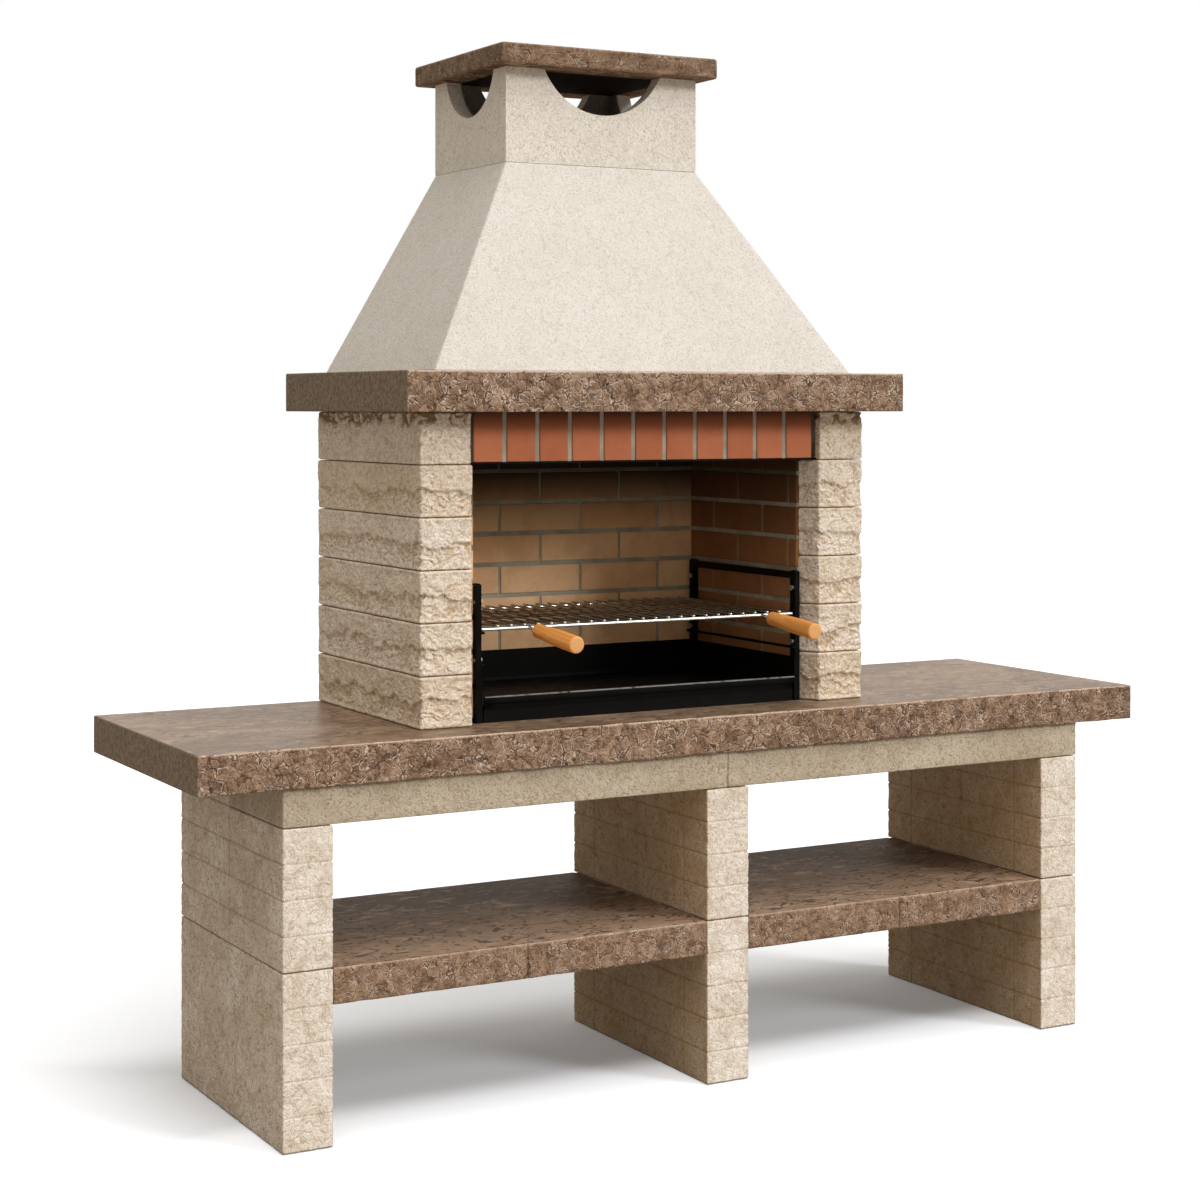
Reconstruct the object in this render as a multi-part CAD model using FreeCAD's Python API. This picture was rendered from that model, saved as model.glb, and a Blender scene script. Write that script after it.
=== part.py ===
import FreeCAD, Part
import math
import os

# Masonry barbecue: three scored piers carry two front beams and a worktop slab. On the
# worktop stand two walls of split-face blocks with a brick-lined firebox between them, a
# soldier course on a steel angle, a mantel slab, a hollow hood, a chimney collar and a cap.
# A steel rack holds the cooking grill, which pulls out over a charcoal tray.
# Millimetres, Z up, X to the right and Y to the back as seen by the cook. Everything is laid
# out from the middle of the worktop's width and the front face of the piers, and moved at the
# end so that the origin is the middle of the whole outline at ground level.

V = FreeCAD.Vector

# Main sizes
worktop_h = 820.0            # working height, ground to top of the slab
worktop_w = 2400.0
worktop_d = 692.0

# Piers
pier_w = 110.0               # width seen from the front
pier_d = 624.0               # depth
end_overhang = 172.0         # worktop beyond the outer faces of the end piers, on average
base_offset = 14.0           # the base stands this far right of the worktop's middle
centre_pier_offset = 28.0    # the middle pier stands this far right of the base's middle
front_block_d = 312.0        # depth of the front upper block, and of the beam on it
lower_courses = 5
upper_courses = 4
score = 3.0                  # depth of a scored V line
upright_inset = 104.0        # upright scored lines on the bay sides, from front and from back
arris = 2.5                  # bevel on the edges of cast blocks and slabs

# Shelves
shelf_t = 75.0
shelf_bearing = 25.0         # how far the shelf's lugs reach into the piers
lug_inset = 60.0             # lugs stop short of the front and the back
seat_gap = 1.0               # room round a lug in its pocket
seam = 4.0                   # depth of the scored line in the middle of the shelf's edge

# Beams and worktop
beam_h = 81.0
worktop_t = 82.0
worktop_nose = 20.0          # overhang in front of the piers

# Firebox walls
firebox_w = 1147.0           # over the outer faces
firebox_d = 573.0
firebox_offset = -96.0       # middle of the firebox, from the worktop's middle
firebox_setback = 95.0       # front of the walls, behind the front of the piers
wall_t = 126.0
block_h = 112.5
block_courses = 6
split_bevel = 6.0            # bevel that makes the joint between split blocks
rear_panel_t = 15.0

# Brick lining and soldier course
lining_t = 28.0
lining_setback = 55.0        # split face left bare in front of the lining
brick_l = 215.0
brick_h = 65.0
mortar = 10.0                # level joints, and the joints of the soldier course
head_joint = 6.0             # upright joints of the lining
mortar_bed = 4.0             # mortar behind each brick
mortar_recess = 3.0          # joints lie this far behind the brick faces
least_brick = 25.0           # shorter pieces are left as mortar
soldier_count = 11
soldier_d = 30.0
soldier_setback = 17.0       # face of the soldier course, behind the front of the walls
angle_t = 4.0
angle_leg = 50.0
angle_bearing = 60.0         # length of the angle held in each wall
angle_gap = 0.5              # room round the angle in its rebate

# Mantel, hood, chimney
mantel_w = 1270.0
mantel_d = 690.0
mantel_t = 88.0
mantel_nose = 75.0           # overhang in front of the walls
throat_ledge = 35.0          # the smoke opening is this much inside the lining
hood_w = 1071.0
hood_setback = 78.0          # front of the hood, behind the front of the mantel
hood_back_inset = 4.0        # back of the hood, in front of the back of the mantel
hood_h = 480.0
hood_lip = 3.0
hood_wall = 45.0
collar_w = 504.0
collar_d = 379.0
collar_h = 217.0
collar_wall = 40.0
moon_rise = 98.0             # height of the half-moon outlets
moon_chord_front = 306.0
moon_chord_side = 252.0
cap_side = 33.0              # overhang of the cap
cap_front = 47.0
cap_back = 49.0
cap_t = 48.0
cap_bevel = 5.0

# Grill rack and ember guard
upright_w = 12.0
upright_d = 22.0
upright_h = 303.0
upright_bevel = 3.0          # round the top of an upright
rack_setback = 40.0          # front of the rack, behind the front of the walls
rack_d = 477.0
rail_t = 5.0
low_rail_h = 127.0           # tops of the rails, above the worktop
grill_rail_h = 198.0
top_bar_t = 5.0
top_bar_h = 16.0
bolt_heights = (136.0, 262.0)
bolt_head_r = 6.5            # to the corners of the hexagon
bolt_head_h = 4.5
bolt_neck = 6.0              # square neck, in a square hole
bolt_gap = 0.2
guard_t = 2.5
guard_h = 102.0

# Charcoal tray
tray_gap = 4.0               # room between the tray and the guard, each side and behind
tray_t = 2.0
tray_floor_h = 30.0          # top of the floor, above the worktop
tray_upstand = 8.0           # low rim at the sides and the back
tray_front_h = 58.0
tray_lip_d = 9.0             # the folded lip stands this far in front of the skirt
tray_lip_h = 15.0

# Cooking grill
bar_r = 4.0                  # front and back bars
side_r = 3.5                 # side bars and tangs, let into the front and back bars
rod_r = 2.5
cross_r = 3.0
rod_count = 23
cross_count = 3
bar_overhang = 6.0           # front and back bars run past the side bars
rod_overhang = 7.0           # rods run past the front and back bars
grill_clear = 2.0            # between the ends of the front and back bars and the uprights
grill_inset = 9.0            # front bar, behind the front of the rack
grill_back_gap = 6.0         # back bar, in front of the guard's back
run_gap = 0.3                # between the sliding bars and their rails
weld_gap = 0.05
handle_share = 0.7585        # place of a handle, as a share of the grill's half width
handle_offset = 15.0         # middle between the handles, right of the middle of the firebox
handle_droop = 5.0           # degrees
tang_bare = 44.0             # tang that shows between the front bar and the grip
tang_in = 60.0               # tang inside the grip
bore_gap = 0.1
grip_r = 17.0
grip_l = 180.0
grip_bevel = 2.5

# Heights of the seats between pieces
course_h = (worktop_h - worktop_t - beam_h) / (lower_courses + upper_courses)
z_shelf = lower_courses * course_h
z_beam = z_shelf + upper_courses * course_h
z_slab = z_beam + beam_h
z_top = z_slab + worktop_t
z_mantel = z_top + block_courses * block_h
z_hood = z_mantel + mantel_t
z_collar = z_hood + hood_h
z_cap = z_collar + collar_h
z_soldier = z_mantel - block_h

# Places across and along the depth
base_w = worktop_w - 2 * end_overhang
pier_left = base_offset - base_w / 2 + pier_w / 2
pier_right = base_offset + base_w / 2 - pier_w / 2
pier_centre = base_offset + centre_pier_offset
fx = firebox_offset
wall_out = firebox_w / 2
wall_in = wall_out - wall_t
lining_in = wall_in - lining_t
wall_front = firebox_setback
wall_back = wall_front + firebox_d
panel_front = wall_back - rear_panel_t
lining_front = wall_front + lining_setback
lining_back = panel_front - lining_t
soldier_y0 = wall_front + soldier_setback
soldier_y1 = soldier_y0 + soldier_d
mantel_front = wall_front - mantel_nose
mantel_back = mantel_front + mantel_d
hood_front = mantel_front + hood_setback
hood_back = mantel_back - hood_back_inset
collar_front = hood_back - collar_d
cap_y0 = collar_front - cap_front
cap_y1 = hood_back + cap_back
rack_in = lining_in - upright_w
rack_front = wall_front + rack_setback
rack_back = rack_front + rack_d
guard_in = rack_in - guard_t
tray_half = guard_in - tray_gap
tray_y0 = rack_front + tray_t
tray_y1 = rack_back - guard_t - tray_gap
grill_half = rack_in - grill_clear - bar_overhang
rail_w = grill_clear + bar_overhang
handle_x = handle_share * grill_half
grill_z = z_top + grill_rail_h + run_gap + bar_r
grill_y0 = rack_front + grill_inset
grill_y1 = rack_back - guard_t - grill_back_gap - rod_overhang
droop = math.radians(handle_droop)
grip_tip = grill_y0 - (tang_bare + grip_l) * math.cos(droop) - (grip_r - grip_bevel) * math.sin(droop)
outline_front = min(grip_tip, -worktop_nose, mantel_front)
outline_back = max(cap_y1, mantel_back, worktop_d - worktop_nose, pier_d)
to_origin = V(0, -(outline_front + outline_back) / 2, 0)

parts = {}


def add(name, *solids):
    shape = solids[0] if len(solids) == 1 else Part.makeCompound(list(solids))
    parts[name] = shape


def box(x0, x1, y0, y1, z0, z1):
    return Part.makeBox(x1 - x0, y1 - y0, z1 - z0, V(x0, y0, z0))


def cast(x0, x1, y0, y1, z0, z1, bevel):
    solid = box(x0, x1, y0, y1, z0, z1)
    return solid.makeChamfer(bevel, solid.Edges)


def prism(points, sweep):
    corners = [V(*p) for p in points]
    return Part.Face(Part.makePolygon(corners + corners[:1])).extrude(V(*sweep))


def mirrored(shape):
    return shape.mirror(V(fx, 0, 0), V(1, 0, 0))


def level_line_front(x0, x1, y, z, out):
    # V line along X in a face that looks along Y, out is -1 at the front and 1 at the back
    tip = (x0, y - out * score, z)
    low = (x0, y + out, z - score - 1)
    high = (x0, y + out, z + score + 1)
    return prism([low, high, tip], (x1 - x0, 0, 0))


def level_line_side(x, y0, y1, z, out):
    # V line along Y in a face that looks along X
    tip = (x - out * score, y0, z)
    low = (x + out, y0, z - score - 1)
    high = (x + out, y0, z + score + 1)
    return prism([low, high, tip], (0, y1 - y0, 0))


def upright_line(x, y, z0, z1, out):
    # V line along Z in a face that looks along X
    tip = (x - out * score, y, z0)
    near = (x + out, y - score - 1, z0)
    far = (x + out, y + score + 1, z0)
    return prism([near, far, tip], (0, 0, z1 - z0))


def scored_block(x, y0, y1, z0, z1, scored, bays, lines_y):
    # scored: sides (-1 left, 1 right) with level lines; bays: sides that face a bay
    x0, x1 = x - pier_w / 2, x + pier_w / 2
    cuts = []
    courses = int((z1 - z0 - 1.0) / course_h)
    for i in range(courses):
        z = z0 + (i + 1) * course_h
        if z > z1 - course_h / 2:
            continue
        if y0 == 0:
            cuts.append(level_line_front(x0 - 1, x1 + 1, y0, z, -1))
        if y1 == pier_d:
            cuts.append(level_line_front(x0 - 1, x1 + 1, y1, z, 1))
        for side in scored:
            cuts.append(level_line_side(x + side * pier_w / 2, y0 - 1, y1 + 1, z, side))
    for side in bays:
        for y in lines_y:
            cuts.append(upright_line(x + side * pier_w / 2, y, z0 - 1, z1 + 1, side))
    return cast(x0, x1, y0, y1, z0, z1, arris).cut(cuts)


def pier(name, x, bays):
    lower = scored_block(x, 0, pier_d, 0, z_shelf, bays, bays, (upright_inset, pier_d - upright_inset))
    for side in bays:
        face = x + side * pier_w / 2
        deep = face - side * (shelf_bearing + seat_gap)
        pocket = box(min(face + side, deep), max(face + side, deep), lug_inset - seat_gap,
                     pier_d - lug_inset + seat_gap, z_shelf - shelf_t, z_shelf + 1)
        lower = lower.cut(pocket)
    add(name + "_pier_lower", lower)
    both = (-1, 1)
    front = scored_block(x, 0, front_block_d, z_shelf, z_beam, both, bays, (upright_inset,))
    rear = scored_block(x, front_block_d, pier_d, z_shelf, z_slab, both, bays, (pier_d - upright_inset,))
    add(name + "_pier_front", front)
    add(name + "_pier_rear", rear)


def shelf(name, pier_a, pier_b):
    x0, x1 = pier_a + pier_w / 2, pier_b - pier_w / 2
    z0 = z_shelf - shelf_t
    slab = cast(x0, x1, 0, pier_d, z0, z_shelf, arris)
    lugs = box(x0 - shelf_bearing, x1 + shelf_bearing, lug_inset, pier_d - lug_inset, z0, z_shelf)
    middle = (x0 + x1) / 2
    groove = prism([(middle - seam - 1, -1, z0 - 1), (middle + seam + 1, -1, z0 - 1), (middle, seam, z0 - 1)],
                   (0, 0, shelf_t + 2))
    add(name + "_shelf", slab.fuse(lugs).removeSplitter().cut(groove))


def walls():
    for i in range(block_courses):
        z0 = z_top + i * block_h
        right = cast(fx + wall_in, fx + wall_out, wall_front, wall_back, z0, z0 + block_h, split_bevel)
        if i == block_courses - 1:
            rebate = box(fx + wall_in - 1, fx + wall_in + angle_bearing + angle_gap,
                         soldier_y0 - angle_gap, soldier_y1 + angle_t + angle_gap,
                         z0 - 1, z0 + angle_t + angle_gap)
            right = right.cut(rebate)
        else:
            # splayed return that closes the end of the lining
            low, high = z0 + split_bevel, z0 + block_h - split_bevel
            plan = [(wall_in, wall_front + split_bevel), (lining_in + mortar_recess, lining_front),
                    (wall_in, lining_front)]
            splay = prism([(fx + x, y, low) for x, y in plan], (0, 0, high - low))
            right = right.fuse(splay).removeSplitter()
        add("right_block_%d" % (i + 1), right)
        add("left_block_%d" % (i + 1), mirrored(right))
    add("rear_panel", box(fx - wall_in, fx + wall_in, panel_front, wall_back, z_top, z_mantel))


def bond(length, height):
    # running bond: brick outlines (u0, u1, z0, z1) on a wall of this length and height
    bricks = []
    z0 = mortar
    row = 0
    while z0 + least_brick <= height:
        z1 = min(z0 + brick_h, height)
        u = -(brick_l + head_joint) / 2 * (row % 2)
        while u < length:
            u0, u1 = max(u, 0), min(u + brick_l, length)
            if u1 - u0 >= least_brick:
                bricks.append((u0, u1, z0, z1))
            u += brick_l + head_joint
        z0 = z1 + mortar
        row += 1
    return bricks


def lining(name, length, place):
    # place turns (u0, u1, w0, w1, z0, z1), w from the wall into the firebox, into a box
    height = z_mantel - z_top
    outlines = bond(length, height)
    bricks = [place(u0, u1, mortar_bed, lining_t, z0, z1) for u0, u1, z0, z1 in outlines]
    bed = place(0, length, 0, lining_t - mortar_recess, 0, height)
    add(name + "_lining_bricks", *bricks)
    add(name + "_lining_mortar", bed.cut(bricks))


def place_back(u0, u1, w0, w1, z0, z1):
    return box(fx - wall_in + u0, fx - wall_in + u1, panel_front - w1, panel_front - w0, z_top + z0, z_top + z1)


def place_right(u0, u1, w0, w1, z0, z1):
    return box(fx + wall_in - w1, fx + wall_in - w0, lining_back - u1, lining_back - u0, z_top + z0, z_top + z1)


def place_left(u0, u1, w0, w1, z0, z1):
    return mirrored(place_right(u0, u1, w0, w1, z0, z1))


def soldier_course():
    z0, z1 = z_soldier + angle_t, z_mantel
    pitch = (2 * wall_in - mortar) / soldier_count
    joints = []
    bricks = []
    for i in range(soldier_count + 1):
        x = fx - wall_in + i * pitch
        joints.append(box(x, x + mortar, soldier_y0 + mortar_recess, soldier_y1, z0, z1))
        if i < soldier_count:
            bricks.append(box(x + mortar, x + pitch, soldier_y0, soldier_y1, z0, z1))
    add("lintel_bricks", *bricks)
    add("lintel_mortar", *joints)
    long_half = wall_in + angle_bearing
    flat = box(fx - long_half, fx + long_half, soldier_y0, soldier_y1 + angle_t, z_soldier, z0)
    web = box(fx - wall_in, fx + wall_in, soldier_y1, soldier_y1 + angle_t, z0, z_soldier + angle_leg)
    add("lintel_angle", flat.fuse(web).removeSplitter())


def ring(half, y0, y1, z):
    return [V(fx - half, y0, z), V(fx + half, y0, z), V(fx + half, y1, z), V(fx - half, y1, z)]


def tower(rings):
    # closed solid with flat sides through rectangles one above the other
    def flat(corners):
        return Part.Face(Part.makePolygon(corners + corners[:1]))

    faces = [flat(rings[0]), flat(rings[-1])]
    for low, high in zip(rings, rings[1:]):
        for i in range(4):
            j = (i + 1) % 4
            faces.append(flat([low[i], low[j], high[j], high[i]]))
    solid = Part.Solid(Part.Shell(faces))
    return solid if solid.Volume > 0 else solid.reversed()


def mantel():
    slab = cast(fx - mantel_w / 2, fx + mantel_w / 2, mantel_front, mantel_back, z_mantel, z_hood, arris)
    half = lining_in - throat_ledge
    throat = box(fx - half, fx + half, lining_front + throat_ledge, lining_back - throat_ledge,
                 z_mantel - 1, z_hood + 1)
    add("mantel", slab.cut(throat))


def hood():
    foot = ring(hood_w / 2, hood_front, hood_back, z_hood)
    lip = ring(hood_w / 2, hood_front, hood_back, z_hood + hood_lip)
    neck = ring(collar_w / 2, collar_front, hood_back, z_collar)
    outer = tower([foot, lip, neck])
    foot_in = ring(hood_w / 2 - hood_wall, hood_front + hood_wall, hood_back - hood_wall, z_hood)
    neck_in = ring(collar_w / 2 - collar_wall, collar_front + collar_wall, hood_back - collar_wall, z_collar)
    inner = tower([foot_in, neck_in])
    add("hood", outer.cut(inner))


def moon(chord):
    # radius of the circle that has this chord and the half-moon's rise
    return (chord * chord / 4 + moon_rise * moon_rise) / (2 * moon_rise)


def collar():
    half = collar_w / 2
    tube = box(fx - half, fx + half, collar_front, hood_back, z_collar, z_cap)
    flue = box(fx - half + collar_wall, fx + half - collar_wall, collar_front + collar_wall,
               hood_back - collar_wall, z_collar - 1, z_cap + 1)
    r_front, r_side = moon(moon_chord_front), moon(moon_chord_side)
    z_front, z_side = z_cap - moon_rise + r_front, z_cap - moon_rise + r_side
    y_mid = (collar_front + hood_back) / 2
    through = Part.makeCylinder(r_front, collar_d + 2, V(fx, collar_front - 1, z_front), V(0, 1, 0))
    across = Part.makeCylinder(r_side, collar_w + 2, V(fx - half - 1, y_mid, z_side), V(1, 0, 0))
    add("chimney_collar", tube.cut([flue, through, across]))
    add("chimney_cap", cast(fx - half - cap_side, fx + half + cap_side, cap_y0, cap_y1, z_cap, z_cap + cap_t,
                            cap_bevel))


def rack():
    holes = []
    bolts = []
    x_in, x_out = fx + rack_in, fx + lining_in
    y_front, y_rear = rack_front, rack_back - upright_d
    hexagon = [math.radians(60 * i) for i in range(6)]
    half, room = bolt_neck / 2, bolt_neck / 2 + bolt_gap
    for y in (y_front + upright_d / 2, y_rear + upright_d / 2):
        for h in bolt_heights:
            z = z_top + h
            holes.append(box(x_in - 1, x_out + 1, y - room, y + room, z - room, z + room))
            neck = box(x_in, x_out, y - half, y + half, z - half, z + half)
            rim = [(x_in, y + bolt_head_r * math.cos(a), z + bolt_head_r * math.sin(a)) for a in hexagon]
            bolts.append(prism(rim, (-bolt_head_h, 0, 0)).fuse(neck))

    z1 = z_top + upright_h

    def upright(y0):
        post = box(x_in, x_out, y0, y0 + upright_d, z_top, z1)
        top = [e for e in post.Edges if e.BoundBox.ZMin > z1 - 1]
        return post.makeChamfer(upright_bevel, top).cut(holes)

    x0 = x_in - rail_w
    rails = []
    for h in (low_rail_h, grill_rail_h):
        rails.append(box(x0, x_in, rack_front, rack_back, z_top + h - rail_t, z_top + h))
    z_bar = z1 - upright_bevel
    rails.append(box(x_in, x_in + top_bar_t, y_front + upright_d, y_rear, z_bar - top_bar_h, z_bar))
    right = {"front_upright": [upright(y_front)], "rear_upright": [upright(y_rear)], "rails": rails}
    for piece, solids in right.items():
        add("right_" + piece, *solids)
        add("left_" + piece, *[mirrored(s) for s in solids])
    add("rack_bolts", *(bolts + [mirrored(b) for b in bolts]))

    outer = box(fx - rack_in, fx + rack_in, rack_front, rack_back, z_top, z_top + guard_h)
    inner = box(fx - guard_in, fx + guard_in, rack_front - 1, rack_back - guard_t, z_top - 1, z_top + guard_h + 1)
    add("ember_guard", outer.cut(inner))


def tray():
    x0, x1 = fx - tray_half, fx + tray_half
    floor, top = z_top + tray_floor_h, z_top + tray_front_h
    rim = floor + tray_upstand
    lip_y, lip_z = tray_y0 - tray_lip_d, top - tray_lip_h
    # folded sheet seen from the side: lip, front, floor and back rim
    fold = [(lip_y, lip_z), (lip_y, top), (tray_y0 + tray_t, top), (tray_y0 + tray_t, floor),
            (tray_y1 - tray_t, floor), (tray_y1 - tray_t, rim), (tray_y1, rim), (tray_y1, floor - tray_t),
            (tray_y0, floor - tray_t), (tray_y0, top - tray_t), (lip_y + tray_t, top - tray_t),
            (lip_y + tray_t, lip_z)]
    pan = prism([(x0, y, z) for y, z in fold], (x1 - x0, 0, 0))
    sides = [box(x, x + tray_t, tray_y0, tray_y1, floor - tray_t, rim) for x in (x0, x1 - tray_t)]
    add("tray_pan", pan.fuse(sides).removeSplitter())
    under = floor - tray_t
    skirt = box(x0, x1, tray_y0, tray_y1, z_top, under)
    skirt = skirt.cut(box(x0 + tray_t, x1 - tray_t, tray_y0 + tray_t, tray_y1 + 1, z_top - 1, under + 1))
    add("tray_skirt", skirt)


def grill():
    x0, x1, y0, y1, z = fx - grill_half, fx + grill_half, grill_y0, grill_y1, grill_z
    across = 2 * (grill_half + bar_overhang)
    bars = [Part.makeCylinder(bar_r, across, V(x0 - bar_overhang, y, z), V(1, 0, 0)) for y in (y0, y1)]
    bars += [Part.makeCylinder(side_r, y1 - y0, V(x, y0, z), V(0, 1, 0)) for x in (x0, x1)]
    tangs = []
    grips = []
    for side in (-1, 1):
        tang = Part.makeCylinder(side_r, tang_bare + tang_in, V(0, 0, 0), V(0, -1, 0))
        wood = Part.makeCylinder(grip_r, grip_l, V(0, -tang_bare, 0), V(0, -1, 0))
        wood = wood.makeChamfer(grip_bevel, [e for e in wood.Edges if e.Closed])
        bore = Part.makeCylinder(side_r + bore_gap, tang_in + bore_gap + 1, V(0, -tang_bare + 1, 0), V(0, -1, 0))
        for shape, kept in ((tang, tangs), (wood.cut(bore), grips)):
            shape.rotate(V(0, 0, 0), V(1, 0, 0), handle_droop)
            shape.translate(V(fx + handle_offset + side * handle_x, y0, z))
            kept.append(shape)
    add("grill_frame", bars[0].fuse(bars[1:] + tangs).removeSplitter())
    add("left_handle_grip", grips[0])
    add("right_handle_grip", grips[1])

    z_rod = z + bar_r + rod_r + weld_gap
    pitch = 2 * grill_half / (rod_count + 1)
    length = y1 - y0 + 2 * rod_overhang
    rods = [Part.makeCylinder(rod_r, length, V(x0 + (i + 1) * pitch, y0 - rod_overhang, z_rod), V(0, 1, 0))
            for i in range(rod_count)]
    add("grill_rods", *rods)
    span = 2 * (grill_half - bar_r - weld_gap)
    z_cross = z + bar_r - cross_r
    step = (y1 - y0) / (cross_count + 1)
    ties = [Part.makeCylinder(cross_r, span, V(x0 + bar_r + weld_gap, y0 + (i + 1) * step, z_cross), V(1, 0, 0))
            for i in range(cross_count)]
    add("grill_cross_bars", *ties)


pier("left", pier_left, (1,))
pier("centre", pier_centre, (-1, 1))
pier("right", pier_right, (-1,))
shelf("left", pier_left, pier_centre)
shelf("right", pier_centre, pier_right)
add("left_beam", cast(pier_left - pier_w / 2, pier_centre, 0, front_block_d, z_beam, z_slab, arris))
add("right_beam", cast(pier_centre, pier_right + pier_w / 2, 0, front_block_d, z_beam, z_slab, arris))
add("worktop", cast(-worktop_w / 2, worktop_w / 2, -worktop_nose, worktop_d - worktop_nose, z_slab, z_top, arris))
walls()
lining("back", 2 * wall_in, place_back)
lining("right", lining_back - lining_front, place_right)
lining("left", lining_back - lining_front, place_left)
soldier_course()
mantel()
hood()
collar()
rack()
tray()
grill()

os.makedirs("parts", exist_ok=True)
for name, shape in parts.items():
    shape.translate(to_origin)
    shape.exportStep("parts/" + name + ".step")
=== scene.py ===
# %% [markdown]
# # A masonry barbecue, dressed over its frame
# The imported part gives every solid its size, place and motion. This lesson gives each piece the
# surface and the finish that the real one has: split stone, cast concrete, brick, steel and wood.
# The frame comes first, because every later piece is measured from it and rides on it.

# %% The frame
import math

import bpy
import numpy as np
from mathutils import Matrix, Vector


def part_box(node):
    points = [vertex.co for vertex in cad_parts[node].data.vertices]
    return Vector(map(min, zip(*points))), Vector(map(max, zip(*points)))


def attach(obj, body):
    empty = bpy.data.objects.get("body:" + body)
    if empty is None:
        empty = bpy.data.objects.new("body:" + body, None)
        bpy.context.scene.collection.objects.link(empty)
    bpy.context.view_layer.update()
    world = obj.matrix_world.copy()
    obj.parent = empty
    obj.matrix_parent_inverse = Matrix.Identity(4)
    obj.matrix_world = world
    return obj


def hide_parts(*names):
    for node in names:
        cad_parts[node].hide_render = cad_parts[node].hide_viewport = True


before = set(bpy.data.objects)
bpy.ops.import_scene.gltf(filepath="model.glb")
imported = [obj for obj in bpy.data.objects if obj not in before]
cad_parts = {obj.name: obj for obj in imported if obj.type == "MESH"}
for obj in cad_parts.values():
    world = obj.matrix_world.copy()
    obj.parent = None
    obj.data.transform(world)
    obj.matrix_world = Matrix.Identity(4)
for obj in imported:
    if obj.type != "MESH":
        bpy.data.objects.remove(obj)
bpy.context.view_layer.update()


def placed(name, data):
    """A new object in the scene."""
    made = bpy.data.objects.new(name, data)
    bpy.context.scene.collection.objects.link(made)
    return made


# %% [markdown]
# ## The camera
# The photograph was taken level, with upright lines kept upright, so the camera isn't tilted: its
# picture is shifted down instead. Its place and lens were worked out from the object's corners.

# %% Camera
camera = placed("camera", bpy.data.cameras.new("camera"))
camera.location = (-2.7282, -4.7464, 1.5118)
camera.rotation_euler = (math.radians(90), 0, math.radians(-28.994))
camera.data.sensor_fit = "HORIZONTAL"
camera.data.sensor_width = 36
camera.data.lens = 69.97
camera.data.shift_y = -0.1632
bpy.context.scene.camera = camera
bpy.context.scene.view_settings.view_transform = "Standard"
print("camera at", tuple(round(v, 3) for v in camera.location))

# %% [markdown]
# ## Shader arithmetic
# Node trees grow unreadable when they are wired by hand. A small class wraps one socket, and plain
# arithmetic on it adds the Math nodes. One method makes every other kind of node: its settings
# first, then its sockets. Colours are mixed, never added up in a Math node, which would grey them,
# and are written as they look on a screen, 0 to 255.


# %% A socket that does arithmetic
class Wire:
    """One socket of a finish. Arithmetic on it adds Math nodes, in either order."""

    def __init__(self, tree, socket):
        self.tree, self.socket = tree, socket

    def node(self, kind, sockets=None, out=0, **settings):
        """Adds a node: its settings first, then its sockets by name or number."""
        made = self.tree.nodes.new("ShaderNode" + kind)
        for name, value in settings.items():
            setattr(made, name, value)
        for name, value in (sockets or {}).items():
            plug(made.inputs[name], value)
        return Wire(self.tree, made.outputs[out])

    def math(self, operation, first, second):
        return self.node("Math", {0: first, 1: second}, operation=operation)

    def __add__(self, other):
        return self.math("ADD", self, other)

    def __sub__(self, other):
        return self.math("SUBTRACT", self, other)

    def __rsub__(self, other):
        return self.math("SUBTRACT", other, self)

    def __mul__(self, other):
        return self.math("MULTIPLY", self, other)

    def __abs__(self):
        return self.math("ABSOLUTE", self, 0.0)

    __radd__, __rmul__ = __add__, __mul__

    def between(self, low, high):
        """A soft mask: 0 up to low, 1 from high on."""
        return self.node("MapRange", {"Value": self, "From Min": low, "From Max": high},
                         interpolation_type="SMOOTHSTEP")

    def mix(self, first, second):
        """The first colour where this mask is 0, the second where it is 1."""
        return self.node("Mix", {0: self, 6: tint(first), 7: tint(second)}, 2, data_type="RGBA")

    def grain(self, size, detail=3.0, rough=0.55, curl=0.0):
        """Noise on this vector, with features about this size in metres, curled by distortion."""
        return self.node("TexNoise", {"Vector": self, "Scale": 1 / size, "Detail": detail,
                                      "Roughness": rough, "Distortion": curl})

    def curls(self, size, count, twist=0.8, detail=1.5):
        """Curled ridges, 0 to 1: level lines sin(2 pi count n) of a noise n, ragged with detail."""
        phase = self.grain(size, detail, 0.5, twist) * (2 * math.pi * count)
        return self.math("SINE", phase, 0.0) * 0.5 + 0.5

    def lines(self, thin):
        """The thin lines along the feet of curled ridges: 1 where they are within thin of 0."""
        return (thin - self).between(0.0, 0.8 * thin)

    def plates(self, size, shove):
        """Broken plates about this size: the distance from each one's edge, and a tone for each."""
        push = self.node("TexNoise", {"Vector": self, "Scale": 1 / size, "Detail": 3.0}, 1)
        pushed = self.node("VectorMath", {0: push, 1: (shove,) * 3, 2: self},
                           operation="MULTIPLY_ADD")
        cells = {"Vector": pushed, "Scale": 1 / size}
        edge = self.node("TexVoronoi", cells, feature="DISTANCE_TO_EDGE")
        return edge, self.node("TexVoronoi", cells, 1).part(0)

    def part(self, axis):
        """One number of this vector: 0, 1, 2 for x, y, z."""
        return self.node("SeparateXYZ", {0: self}, axis)

    def stretched(self, x=1.0, y=1.0, z=1.0):
        """This vector scaled, so that a pattern on it grows longer where the number is small."""
        return self.node("Mapping", {"Vector": self, "Scale": (x, y, z)})

    def field(self, name, out=2):
        """A number that the piece's own points carry, or a vector with out 1."""
        return self.node("Attribute", out=out, attribute_name=name)


def plug(socket, value):
    """Links a wire into a socket, or sets the socket to a constant."""
    if isinstance(value, Wire):
        value.tree.links.new(value.socket, socket)
    else:
        socket.default_value = value


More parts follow.
